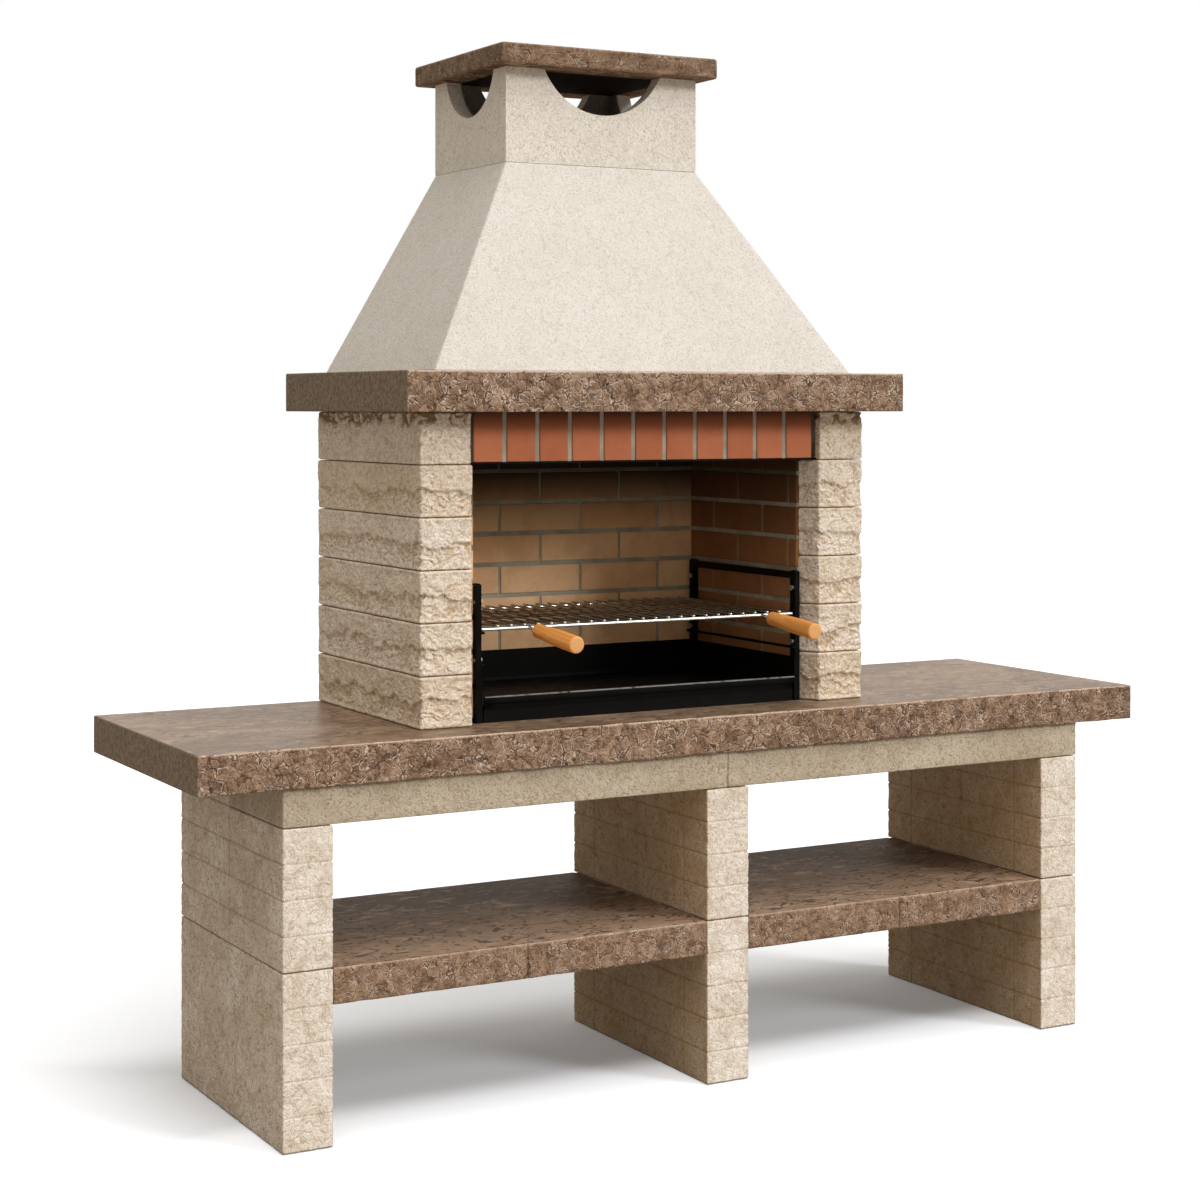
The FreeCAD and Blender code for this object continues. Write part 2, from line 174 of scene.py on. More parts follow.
def tint(colour):
    """Three screen numbers turned into the linear colour that nodes use; all else stays."""
    if isinstance(colour, Wire) or len(colour) == 4:
        return colour
    screen = np.array(colour) / 255
    linear = np.where(screen < 0.04045, screen / 12.92, ((screen + 0.055) / 1.055) ** 2.4)
    return (*linear.tolist(), 1.0)


def coats(colour, *laid):
    """Lays colours over one another: each coat is a mask and the colour shown where it is 1."""
    for mask, shade in laid:
        colour = mask.mix(colour, shade)
    return colour


def new_finish(name, shine=0.2):
    """A material with this much shine, its shader node and the Object coordinates patterns read."""
    material = bpy.data.materials.new(name)
    material.use_nodes = True
    tree = material.node_tree
    shader = tree.nodes["Principled BSDF"]
    shader.inputs["Specular IOR Level"].default_value = shine
    place = Wire(tree, tree.nodes.new("ShaderNodeTexCoord").outputs["Object"])
    return material, shader, place


def feed(shader, colour=None, roughness=None, height=None, strength=0.5, distance=0.001):
    """Links what varies over the surface: colour, roughness, and a height through a Bump node."""
    bump = height and height.node("Bump", {"Strength": strength, "Distance": distance,
                                           "Height": height})
    for name, value in (("Base Color", colour), ("Roughness", roughness), ("Normal", bump)):
        if value is not None:
            plug(shader.inputs[name], value)


print("shader arithmetic ready")

# %% [markdown]
# ## Floor, background and light
# A studio sweep: a pale floor that keeps the shadow, and a white surround. Two sun lamps with wide
# discs do the work of large soft ones: one low at the right front, one high and a little left to
# keep the floor even. Weak warm light comes from all round. The camera sees floor and surround as
# white; other rays meet a duller floor, and mirrors a brighter surround, as in a real studio.

# %% Stage
FLOOR_HALF, FLOOR_GLOW, OPEN_GLOW = 30, 0.11, 0.26


def studio_floor():
    """A large square. For the camera alone it glows, more so outside the object's footprint."""
    mesh = bpy.data.meshes.new("studio_floor")
    corners = ((-1, -1), (1, -1), (1, 1), (-1, 1))
    mesh.from_pydata([(x * FLOOR_HALF, y * FLOOR_HALF, 0) for x, y in corners], [], [(0, 1, 2, 3)])
    floor = placed("studio_floor", mesh)
    material, shader, place = new_finish("studio_floor")
    tree = material.node_tree
    seen = place.node("LightPath", out="Is Camera Ray")
    pale = seen.mix((168, 160, 151), (236, 240, 246))
    matt = pale.node("BsdfDiffuse", {"Color": pale})
    beside, depth = abs(place.part(0)).between(0.95, 1.35), place.part(1)
    clear = place.math("MAXIMUM", beside, (0.0 - depth).between(0.05, 0.2))
    clear = place.math("MAXIMUM", clear, depth.between(0.28, 0.6))
    glow = seen.node("Emission", {"Color": (1, 1, 1, 1),
                                  "Strength": seen * (FLOOR_GLOW + clear * OPEN_GLOW)})
    both = matt.node("AddShader", {0: matt, 1: glow})
    plug(tree.nodes["Material Output"].inputs["Surface"], both)
    tree.nodes.remove(shader)
    mesh.materials.append(material)


def studio_surround(level):
    """White for the camera, bright and warm in mirrors, a dim warm light for everything else."""
    world = bpy.data.worlds.new("studio_surround")
    world.use_nodes = True
    bpy.context.scene.world = world
    tree = world.node_tree
    path = tree.nodes.new("ShaderNodeLightPath")
    seen, glossy = (Wire(tree, path.outputs[f"Is {kind} Ray"]) for kind in ("Camera", "Glossy"))
    background = tree.nodes["Background"]
    warm = glossy.mix((1, 0.92, 0.80, 1), (1, 0.95, 0.88, 1))
    plug(background.inputs["Color"], seen.mix(warm, (1, 1, 1, 1)))
    plug(background.inputs["Strength"], level + (seen + glossy) * (1 - level))


def sun_lamp(name, turn, rise, spread, power):
    """A sun with a wide disc: turn degrees right of the front, rise degrees above level."""
    lamp = placed(name, bpy.data.lights.new(name, "SUN"))
    lamp.rotation_euler = (math.radians(90 - rise), 0, math.radians(turn))
    lamp.data.energy = power
    lamp.data.angle = math.radians(spread)


studio_floor()
studio_surround(0.43)
sun_lamp("key_lamp", turn=35, rise=24, spread=16, power=1.5)
sun_lamp("ceiling_lamp", turn=-15, rise=65, spread=45, power=1.5)
print("stage set")

# %% [markdown]
# ## Noise for stone
# Stone is never even. Blender's noise lives in shaders and can't move points that are worked out
# here, so the same idea is written with whole numpy arrays: a repeatable number at each lattice
# point, blended smoothly between them. Flakes, creases and bends of it make the relief of torn and
# hewn stone.


# %% Repeatable noise
WORD = np.uint64(0xFFFFFFFF)


def lattice(cell, seed):
    """A number, 0 to 1, for each whole-number lattice point: its bits are multiplied and folded."""
    bits = (cell * (73856093, 19349663, 83492791)).sum(-1) + seed * 40503 * 65537
    bits = bits.astype(np.uint64) & WORD
    for fold, times in ((16, 0x85EBCA6B), (13, 0xC2B2AE35)):
        bits = ((bits ^ (bits >> np.uint64(fold))) * np.uint64(times)) & WORD
    return (bits ^ (bits >> np.uint64(16))) / float(WORD)


def cloud(points, size, seed=0):
    """Soft noise, 0 to 1: lattice numbers a size apart, joined along z, y, x with 3t^2 - 2t^3."""
    scaled = points / size
    cell = np.floor(scaled).astype(np.int64)
    t = scaled - cell
    t = t * t * (3 - 2 * t)
    value = np.stack([lattice(cell + corner, seed) for corner in np.ndindex(2, 2, 2)], -1)
    for axis in (2, 1, 0):
        value = value[..., 0::2] + (value[..., 1::2] - value[..., 0::2]) * t[..., axis:axis + 1]
    return value[..., 0]


def layers(points, size, count, seed=0):
    """Soft noise laid on itself, each layer half as large and half as strong, 0 to 1."""
    weights = 0.5 ** np.arange(count)
    return sum(w * cloud(points, size * w, seed + n) for n, w in enumerate(weights)) / weights.sum()


def creases(points, size, seed=0):
    """Narrow crests, 0 to 1: one minus twice the noise's distance from its middle."""
    return 1 - np.abs(2 * cloud(points, size, seed) - 1)


def ridges(points, size, count, seed=0):
    """Curled ridges, 0 to 1: the level lines sin(2 pi count n) of the soft noise n."""
    return 0.5 + 0.5 * np.sin(2 * math.pi * count * cloud(points, size, seed))


def flakes(points, size, count, seed=0):
    """Overlapping scales, 0 to 1: each rises with count n of layered noise n, then breaks off."""
    step = count * layers(points, size, 3, seed)
    step = step - np.floor(step)
    return step * (1 - ease(step, 0.86, 1.0))


def bent(points, size, reach, seed=0):
    """Points pushed about by soft noise, so that a pattern laid on them flows and curls."""
    push = np.stack([cloud(points, size, seed + 50 + axis) for axis in range(3)], -1) - 0.5
    return points + 2 * reach * push


def ease(value, low, high):
    """0 up to low, 1 from high on, 3t^2 - 2t^3 between."""
    t = np.clip((value - low) / (high - low), 0, 1)
    return t * t * (3 - 2 * t)


print("noise at one point:", round(float(cloud(np.array([[0.1, 0.2, 0.3]]), 0.05)[0]), 4))

# %% [markdown]
# ## One skin for every block, slab and brick
# All the stone here is boxy, but never a plain box: edges are rounded, faces are hewn. A grid with
# one direction round the outline and the other up the side covers such a block without a seam. It
# could be a cube with bevels and a displacement, but then no point would know whether it lies on a
# hewn front or a sawn side. Here each point knows, and the relief follows from that.


# %% Outline and skin
NEAR_A_LINE = np.array([-5, -3, -1.5, 0, 1.5, 3, 5]) * 0.001
CLEAR_OF_A_LINE, FLAT_RIM = 0.0015, 0.015
ARRIS_FROM, ARRIS_TO = 0.005, 0.001


def stops(start, end, step, lines=()):
    """Places from start to end about a step apart, with seven close together at each line."""
    even = np.linspace(start, end, max(2, round((end - start) / step) + 1))
    close = np.add.outer(np.asarray(lines, float), NEAR_A_LINE).ravel()
    clear = np.abs(even[:, None] - close).min(axis=1, initial=1.0) > CLEAR_OF_A_LINE
    clear[[0, -1]] = True
    return np.sort(np.r_[even[clear], close])


def outline(corners, radii, steps, lines=None):
    """One turn round a polygon, anticlockwise: each edge, then the rounded corner at its end.

    An inset d moves a point from B to B - d M. At a corner M is the mitre (n + m) / (1 + n . m) of
    the edge normals n and m, and along an edge M runs evenly from corner to corner. The arc is
    B = C - r M + r L, with L the way the surface looks; an inward corner has a negative radius.
    """
    corners = np.array(corners, float)
    radii = np.broadcast_to(np.asarray(radii, float), len(corners))[:, None]
    ways = np.roll(corners, -1, 0) - corners
    ways /= np.linalg.norm(ways, axis=1)[:, None]
    normals = np.c_[ways[:, 1], -ways[:, 0]]
    before = np.roll(normals, 1, 0)
    mitres = (before + normals) / (1 + (before * normals).sum(1)[:, None])
    centres = corners - radii * mitres
    bearing = np.arctan2(normals[:, 1], normals[:, 0])
    base, mitre, looks = [], [], []
    for i in range(len(corners)):
        j = (i + 1) % len(corners)
        start, end = centres[i] + radii[i] * normals[i], centres[j] + radii[j] * normals[i]
        half = np.linalg.norm(end - start) / 2
        marks = np.sign(ways[i].sum()) * np.asarray(lines[i] if lines else (), float)
        along = (stops(-half, half, steps[i], marks) / half + 1)[:, None] / 2
        swing = (bearing[j] - bearing[i] + math.pi) % (2 * math.pi) - math.pi
        turn = bearing[i] + swing * np.linspace(0, 1, 5)[1:-1]
        arc = np.c_[np.cos(turn), np.sin(turn)]
        base += [start + along * (end - start), centres[j] + radii[j] * arc]
        mitre += [mitres[i] + along * (mitres[j] - mitres[i]),
                  np.repeat(mitres[j:j + 1], len(arc), 0)]
        looks += [np.repeat(normals[i:i + 1], len(along), 0), arc]
    return np.concatenate(base), np.concatenate(mitre), np.concatenate(looks)


def rectangle(low, high):
    """The corners of a box seen from above, anticlockwise from the front left."""
    return [(low[0], low[1]), (high[0], low[1]), (high[0], high[1]), (low[0], high[1])]


def skin(box, corner, edge, steps, rise, relief, lines=None, bands=(), hole=None, plan=None,
         slot=0.0):
    """The skin of a block: its outline B at each height, moved in by inset + depth along M.

    The inset makes quarter-round edges at the bottom and the top, a slot's width from the seat. The
    depth comes from the relief, a function of the points, the way they look and their height from
    0 to 1, which also returns fields for the finish. A hole, as (low x, low y), (high x, high y),
    goes right through. A plan gives other corners than the box's own.
    """
    low, high = np.array(box[0]), np.array(box[1])
    tall = high[2] - low[2]
    base, mitre, looks = outline(plan or rectangle(low, high), corner, steps, lines)
    turn = np.linspace(0, math.pi / 2, 4)[:-1]
    rim_in, rim_up = edge * (1 - np.sin(turn)), slot + edge * (1 - np.cos(turn))
    straight = stops(slot + edge, tall - slot - edge, rise, bands)
    flat = edge + FLAT_RIM
    inset = np.r_[flat, rim_in, np.zeros(len(straight)), rim_in[::-1], flat][:, None]
    level = np.r_[0, rim_up, straight, tall - rim_up[::-1], tall]

    def place(inset):
        spread = base - inset[..., None] * mitre
        return np.dstack([spread, np.broadcast_to(low[2] + level[:, None], spread.shape[:2])])

    inset = np.broadcast_to(inset, (len(level), len(base)))
    depth, fields = relief(place(inset), looks[None], (level / tall)[:, None])
    inside = np.ones(len(level))[:, None]
    inside[[0, -1]] = 0
    points = place(inset + depth * inside)
    shape = points.shape[:2]
    faces = inside.copy()
    faces[[1, -2]] = 0
    fields["arris"] = ease(level, tall - ARRIS_FROM, tall - ARRIS_TO)[:, None]
    fields = {name: np.broadcast_to(value, shape) * faces for name, value in fields.items()}
    if hole is not None:
        gap_low, gap_high = np.array(hole)
        gap = (gap_low + gap_high) / 2 + mitre * (gap_high - gap_low) / 2
        gap = np.c_[gap, np.zeros(len(gap))]
        points = np.concatenate([[gap + (0, 0, low[2])], points, [gap + (0, 0, high[2])]])
        fields = {name: np.pad(value, ((1, 1), (0, 0)), "edge") for name, value in fields.items()}
    return {"points": points, "fields": fields, "loop": hole is not None}


def facing(looks, axis, way):
    """How squarely points look along an axis, 0 to 1: their normal's share that way, squared."""
    return np.maximum(way * looks[..., axis], 0) ** 2


def notch(distance, width):
    """The depth of a scored line, 0 to 1: exp(-(distance / width)^2)."""
    return np.exp(-(distance / width) ** 2)


print("skin ready, rows near a scored line:", len(NEAR_A_LINE))

# %% [markdown]
# ## From grids to pieces
# A piece may be one grid or a whole wall of bricks. The grids are joined into one mesh with
# foreach_set, which is many times quicker than adding faces one by one. Ends that aren't looped
# are closed with one flat face. The object stays at the origin, with its place in its mesh.


# %% Pieces
def joined(name, grids):
    """One mesh from grids closed round their columns: quads between rows, a face at each end."""
    corners, sizes, smooth, count = [], [], [], 0
    for grid in grids:
        rows, columns = grid["points"].shape[:2]
        index = count + np.arange(rows * columns).reshape(rows, columns)
        count += rows * columns
        ring = np.concatenate([index, index[:1]]) if grid["loop"] else index
        beside = np.roll(ring, -1, axis=1)
        quads = np.stack([ring[:-1], beside[:-1], beside[1:], ring[1:]], -1)
        round_rows = np.ones(quads.shape[:2], bool)
        flat_rows = grid.get("flat_rows", [0, -1] if not grid["loop"] else [0, 1, -3, -2, -1])
        round_rows[flat_rows] = False
        corners.append(quads.reshape(-1))
        sizes.append(np.full(quads.shape[0] * columns, 4))
        smooth.append(round_rows.reshape(-1))
        if not grid["loop"]:
            corners += [index[0, ::-1], index[-1]]
            sizes.append([columns, columns])
            smooth.append([False, False])
    points = np.concatenate([grid["points"].reshape(-1, 3) for grid in grids])
    corners, sizes, smooth = map(np.concatenate, (corners, sizes, smooth))
    mesh = bpy.data.meshes.new(name)
    mesh.vertices.add(len(points))
    mesh.vertices.foreach_set("co", points.ravel())
    mesh.loops.add(len(corners))
    mesh.loops.foreach_set("vertex_index", corners.astype(np.int32))
    mesh.polygons.add(len(sizes))
    mesh.polygons.foreach_set("loop_start", (np.cumsum(sizes) - sizes).astype(np.int32))
    mesh.polygons.foreach_set("use_smooth", smooth)
    mesh.update(calc_edges=True)
    for field in grids[0]["fields"]:
        values = [np.broadcast_to(grid["fields"][field], grid["points"].shape[:2]).ravel()
                  for grid in grids]
        holder = mesh.attributes.new(field, "FLOAT", "POINT")
        holder.data.foreach_set("value", np.concatenate(values).astype(np.float32))
    return mesh


def piece(name, grids, finish, nodes, slot, body="masonry"):
    """Puts the joined grids into the scene in place of the nodes, riding on their body."""
    mesh = joined(name, grids)
    mesh.materials.append(finish)
    made = placed(name, mesh)
    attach(made, body)
    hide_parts(*nodes)
    print(name, "points:", len(mesh.vertices), "faces:", len(mesh.polygons))
    return made


def dress(finish, *nodes):
    """Gives CAD nodes whose shape is right a finish of their own."""
    for name in nodes:
        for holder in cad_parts[name].material_slots:
            holder.material = finish
    print(finish.name, "on", ", ".join(nodes))


def solids_of(node):
    """The box of each loose solid in a node.

    Corners at one place count as one, and corners of one triangle take the lowest label among
    them, until no label changes. Each label left is one solid.
    """
    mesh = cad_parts[node].data
    points = np.empty(len(mesh.vertices) * 3, np.float32)
    mesh.vertices.foreach_get("co", points)
    points = points.reshape(-1, 3)
    same = np.unique(np.round(points, 5), axis=0, return_inverse=True)[1].ravel()
    triangles = np.empty(len(mesh.loops), np.int32)
    mesh.loops.foreach_get("vertex_index", triangles)
    triangles = same[triangles].reshape(-1, 3)
    label, before = np.arange(same.max() + 1), None
    while before is None or (before != label).any():
        before = label.copy()
        lowest = np.broadcast_to(label[triangles].min(1)[:, None], triangles.shape)
        np.minimum.at(label, triangles, lowest)
    group = label[same]
    return [(points[group == n].min(0).astype(float), points[group == n].max(0).astype(float))
            for n in np.unique(group)]


def box_of(node):
    """A node's box as two numpy corners."""
    return tuple(np.array(corner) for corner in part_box(node))


print("back lining bricks:", len(solids_of("back_lining_bricks")))

# %% [markdown]
# ## Split-face blocks
# The firebox walls are blocks broken on a press, so their faces are torn: flakes a finger wide,
# soft lumps, thin curled lines, and a ragged ledge where the crack changed level. The top block of
# each wall has gashes instead. The colour paints light and shade into this relief: paler on crests,
# tan in hollows and under the ledge, darker in the curled lines and the gashes. Sculpting twelve
# blocks by hand would make twelve different stones; a relief worked out from each point's place
# does it for all of them.

# %% Split stone finish
def split_stone():
    """Painted light and shade: cream crests, tan hollows, dark curls and gashes. Rust, sand."""
    material, shader, place = new_finish("split_stone")
    curl, sand = place.curls(0.015, 3.0, 1.0, 2.5), place.grain(0.0035, 4.0, 0.65)
    hair = place.stretched(1.0, 1.0, 1.5).curls(0.0105, 3.0, 1.2, 2.0)
    rust = place.grain(0.03, 4.0, 0.65, 0.8).between(0.5, 0.7)
    pale = place.grain(0.09, 3.0).between(0.3, 0.7).mix((241, 228, 212), (250, 241, 230))
    worn_and_lit = place.field("tone").mix(pale, (238, 223, 202))
    # Painted light and shade: tan hollows, pale crests, darker curled lines and gashes.
    colour = coats(place.field("crest").between(0.0, 0.6).mix((196, 167, 131), worn_and_lit),
                   (curl.lines(0.2) * 0.32, (174, 140, 100)),
                   (hair.lines(0.16) * 0.46, (152, 117, 79)), (rust * 0.3, (210, 181, 142)),
                   (sand.between(0.55, 0.78) * 0.25, (172, 142, 106)),
                   (place.field("gash") * 0.65, (112, 86, 54)))
    feed(shader, colour, 0.92, curl * 0.4 + hair * 0.3 + sand * 0.7, 0.8, 0.002)
    return material


# %% Split blocks
def split_relief(seed, torn):
    """Flakes and lumps, with the lower half broken back under a ragged ledge.

    Torn blocks have no ledge, but gashes along the top. Backs are sawn, and faces that look right
    are shallower.
    """
    def relief(points, looks, up):
        front, sawn, right = facing(looks, 1, -1), facing(looks, 1, 1), facing(looks, 0, 1)
        curled = bent(points * (1, 1, 1.3), 0.024, 0.01, seed)
        ridge = (0.6 * flakes(curled * (0.55, 0.55, 1), 0.04, 7.0, seed)
                 + 0.4 * flakes(curled, 0.024, 5.0, seed + 1))
        lump = layers(points, 0.05, 3, seed + 2)
        level = points * (1, 1, 0.1)
        line = (0.5 + 0.2 * (cloud(level, 0.09, seed + 5) - 0.5)
                + 0.36 * (layers(level, 0.028, 3, seed + 6) - 0.5))
        below = ease(line - up, -0.015, 0.03) * (1 - torn)
        back = below * (0.0044 - 0.0034 * ease(line - up, 0.03, 0.42))
        gash = torn * ease(creases(bent(points, 0.012, 0.008, seed + 8), 0.02, seed + 9), 0.6, 0.9)
        gash = gash * ease(up + 0.3 * (layers(level, 0.04, 3, seed + 7) - 0.5), 0.66, 0.88)
        face = (1 - 0.9 * sawn) * (1 - 0.5 * right)
        face = face * (0.35 + 0.65 * ease(np.minimum(up, 1 - up), 0.0, 0.1))
        flake = (0.003 + 0.0006 * front) * (1 + 0.6 * below) * (1 - ridge)
        depth = 0.004 * ease(lump, 0.75, 0.25) + flake + back + 0.005 * gash
        # Crest is low in hollows, under the ledge and in gashes, where the finish paints shade.
        crest = np.clip(0.2 + ridge - 45 * back - 0.6 * gash + 0.4 * (lump - 0.5), 0, 1)
        tone = cloud(points * 0 + seed, 0.7, seed)
        return depth * face, {"crest": crest, "gash": gash, "tone": tone}
    return relief


def splayed(side):
    """A wall block's corners from above, with its return splayed to the lining."""
    (x_a, front, _), (x_b, back, _) = box_of(side + "_block_6")
    low, high = box_of(side + "_block_1")
    seat = box_of(side + "_lining_bricks")[0][1]
    if side == "right":
        return [(x_a, front), (x_b, front), (x_b, back), (x_a, back), (x_a, seat), (low[0], seat)]
    return [(x_a, front), (x_b, front), (high[0], seat), (x_b, seat), (x_b, back), (x_a, back)]


SEAT, ROUND, TIGHT, INWARD = 0.0008, 0.004, 0.002, -0.002
TOP_BLOCK = 6
# Radii and steps round the splayed blocks, then steps round the top block, fine where they show.
walls = {"left": ((ROUND, ROUND, TIGHT, INWARD, ROUND, ROUND),
                  (0.002, 0.003, 0.02, 0.03, 0.012, 0.0033), (0.002, 0.004, 0.012, 0.0033)),
         "right": ((ROUND, ROUND, ROUND, ROUND, INWARD, TIGHT),
                   (0.002, 0.0033, 0.012, 0.03, 0.02, 0.003), (0.002, 0.0033, 0.012, 0.004))}
stone = split_stone()
for side, (radii, steps, top_steps) in walls.items():
    for number in range(1, TOP_BLOCK + 1):
        node = f"{side}_block_{number}"
        plan = (radii, steps, splayed(side)) if number < TOP_BLOCK else (ROUND, top_steps, None)
        relief = split_relief(number * 17 + len(side) * 5, float(number == TOP_BLOCK))
        grid = skin(box_of(node), plan[0], 0.006, plan[1], 0.0022, relief, plan=plan[2], slot=SEAT)
        piece(f"{side}_split_block_{number}", [grid], stone, [node], "split_block")

# %% [markdown]
# ## Brown slabs
# Worktop, shelves, mantel and cap are one brown stone mix: tops rubbed smooth with faint streaks,
# edges hewn into curls and broken plates, with pale flecks along the plates' rims as painted
# highlights and painted shade in hollows, cracks and pits. One finish does it all, led by a field
# that says how rough each point is. The front arris is chipped, with a painted highlight along it.
# The shelves are duller, with painted shade towards the back of their tops and painted light at
# the front; the cap is weathered, with painted shade underneath inside the chimney's neck.

# %% Brown stone finish
NECK_WALL = 0.04


def neck_shaded(material, top, share):
    """A finish with painted shade, a share of it, inside the chimney's walls up to this height."""
    tree = material.node_tree
    shader = tree.nodes["Principled BSDF"]
    place = Wire(tree, tree.nodes["Texture Coordinate"].outputs["Object"])
    clean = Wire(tree, shader.inputs["Base Color"].links[0].from_socket)
    # Painted shade inside the chimney's neck, below the given height.
    neck_shade = (top - place.part(2)).between(0.0, 0.002) * share
    low, high = box_of("chimney_collar")
    middle, half = (low + high) / 2, (high - low) / 2
    for axis in (0, 1):
        inward = half[axis] - abs(place.part(axis) - middle[axis])
        neck_shade = neck_shade * inward.between(0.85 * NECK_WALL, NECK_WALL)
    feed(shader, neck_shade.mix(clean, (30, 23, 18)))
    return material


def brown_stone(name, gloss, broken, weather=0.0, shelf_shade=0.0):
    """Hewn edges: curled brown, cracked plates, pale flecks, dark pits. Rubbed tops: level streaks.

    Sawn ends are plain. Weather darkens all of it in patches. Flecks along the plates' rims are
    painted highlights; hollows, cracks and pits are painted shade. On the shelves, shade is painted
    on the tops towards the back, and light at their fronts.
    """
    material, shader, place = new_finish(name, 0.35 * gloss)
    rough, crest, arris, sawn = map(place.field, ("rough", "crest", "arris", "sawn"))
    curl, small = place.curls(0.05, 3.5, 1.5, 2.5), place.curls(0.028, 3.5, 1.5, 2.0)
    edge, plate = place.plates(broken, 1.2 * broken)
    base = (plate * 0.2 + place.grain(0.04, 3.0, 0.6, 1.5) * 0.8).between(0.3, 0.7)
    base = base.mix((129, 101, 80), (169, 140, 116))
    # Painted shade in the cracks and pits, and painted highlights along the plates' rims.
    crack = edge.lines(0.045) * place.grain(0.045, 3.0).between(0.37, 0.52)
    rim_highlight = abs(edge - 0.09).lines(0.045) * place.grain(0.03, 3.0).between(0.44, 0.56)
    pit = place.grain(0.014, 3.0, 0.6, 1.2).between(0.64, 0.7)
    # Painted shade in the hollows of the hewn relief.
    hewn = coats(crest.between(0.0, 0.4).mix((104, 78, 62), base),
                 (small.lines(0.1) * 0.5, (70, 50, 39)), (crack * 0.8, (54, 38, 29)),
                 (curl.lines(0.05) * 0.5, (52, 36, 28)), (rim_highlight * 0.6, (224, 207, 191)),
                 (pit * 0.7, (50, 35, 27)))
    level, strong = place.stretched(0.35, 0.6), 1.1 - 0.45 * gloss
    streak, swirl = level.grain(0.02, 5.0, 0.65, 0.8), level.curls(0.03, 4.0, 1.2, 2.0)
    rubbed = level.grain(0.09, 4.0, 0.6, 0.5).between(0.3, 0.7)
    rubbed = rubbed.mix((108, 86, 67), (146, 120, 97))
    # Painted shade on the shelves' tops towards the back, painted light at their fronts.
    if shelf_shade:
        front, back = (corner[1] for corner in box_of("left_shelf"))
        inward = (place.part(1) + (streak - 0.5) * 0.4).between(front, back)
        rubbed = coats(rubbed, (shelf_shade * (1 - inward), (178, 148, 123)),
                       (shelf_shade * 1.6 * inward, (46, 38, 32)))
    rubbed = coats(rubbed, (streak.between(0.5, 0.66) * strong, (174, 149, 127)),
                   (swirl.lines(0.09) * strong, (66, 49, 38)),
                   (level.grain(0.012, 2.0).between(0.64, 0.7) * 0.7, (58, 43, 34)))
    plain = place.grain(0.009, 5.0, 0.7, 0.5).between(0.35, 0.65)
    plain = plain.mix((106, 92, 77), (146, 129, 111))
    # A painted highlight along the chipped top arris.
    arris_highlight = arris * rough * place.grain(0.02, 3.0).between(0.25, 0.5) * 0.8
    colour = coats(rubbed, (sawn, plain), (rough.between(0.15, 0.6), hewn),
                   (arris_highlight, (222, 196, 174)))
    if weather:
        patches = place.grain(0.08, 3.0).between(0.3, 0.7) * 0.2 + weather
        colour = patches.mix(colour, (84, 65, 50))
    matt = (rough + sawn).between(0.0, 0.5) * 0.55
    bumps = edge.between(0.0, 0.18) * 0.8 + curl * 0.2 + small * 0.6 + place.grain(0.006, 4.0, 0.65)
    bumps = bumps * (0.04 + rough) + swirl * 0.12
    feed(shader, colour, 0.9 - 0.62 * gloss + streak * 0.1 + matt, bumps, 0.55, 0.0022)
    return material


# %% Hewn edges
def hewn_relief(seed, front=1.0, sides=0.04, back=0.1, seam=None, shown=0.0):
    """Flakes and lumps on the front, almost none on sawn ends, with chips out of the arrises.

    The finish takes the roughness shown, where the relief is shallower than that.
    """
    def relief(points, looks, up):
        sawn = looks[..., 0] ** 2
        share = front * facing(looks, 1, -1) + back * facing(looks, 1, 1) + sides * sawn
        curled = bent(points * (1, 1, 1.2), 0.034, 0.018, seed)
        ridge = 0.6 * flakes(curled, 0.06, 6.0, seed) + 0.4 * flakes(curled, 0.04, 6.0, seed + 1)
        lump = layers(points, 0.05, 3, seed + 2)
        upright = points * (1, 1, 0.3)
        chip = ease(cloud(upright, 0.022, seed + 6), 0.55, 0.95) * ease(up, 0.8, 1.0)
        chip = chip + 0.8 * ease(cloud(upright, 0.03, seed + 7), 0.55, 0.9) * ease(up, 0.2, 0.0)
        depth = (0.005 * ease(lump, 0.75, 0.25) + 0.003 * (1 - ridge) + 0.005 * chip) * share
        if seam is not None:
            depth = depth + 0.005 * notch(points[..., 0] - seam, 0.0022)
        crest = np.clip(0.2 + 0.9 * ridge + 0.4 * (lump - 0.5), 0, 1)
        return depth, {"crest": crest, "rough": np.maximum(share, shown), "sawn": sawn}
    return relief


SHELF_LUG, LEDGE = 0.025, 0.035
brown = brown_stone("brown_stone", 0.9, 0.023)
worn_brown = brown_stone("worn_stone", 0.5, 0.017, shelf_shade=0.4)
piece("worktop_slab", [skin(box_of("worktop"), 0.003, 0.0025, (0.0027, 0.02, 0.02, 0.02), 0.0025,
                            hewn_relief(3))], brown, ["worktop"], "brown_concrete")
for side, seed in (("left", 5), ("right", 9)):
    low, high = box_of(side + "_shelf")
    low[0] += SHELF_LUG
    high[0] -= SHELF_LUG
    relief = hewn_relief(seed, 0.5, seam=(low[0] + high[0]) / 2)
    grid = skin((low, high), 0.003, 0.003, (0.003, 0.03, 0.02, 0.03), 0.003, relief,
                ((0.0,), (), (), ()))
    piece(side + "_shelf_slab", [grid], worn_brown, [side + "_shelf"], "brown_concrete")
lining = {side: box_of(side + "_lining_bricks") for side in ("left", "back", "right")}
throat = ((lining["left"][1][0] + LEDGE, lining["left"][0][1] + LEDGE),
          (lining["right"][0][0] - LEDGE, lining["back"][0][1] - LEDGE))
piece("mantel_slab", [skin(box_of("mantel"), 0.003, 0.0025, (0.0025, 0.02, 0.02, 0.02), 0.0025,
                           hewn_relief(21), hole=throat)], brown, ["mantel"], "brown_concrete")
cap = box_of("chimney_cap")
cap_seat = cap[0][2]
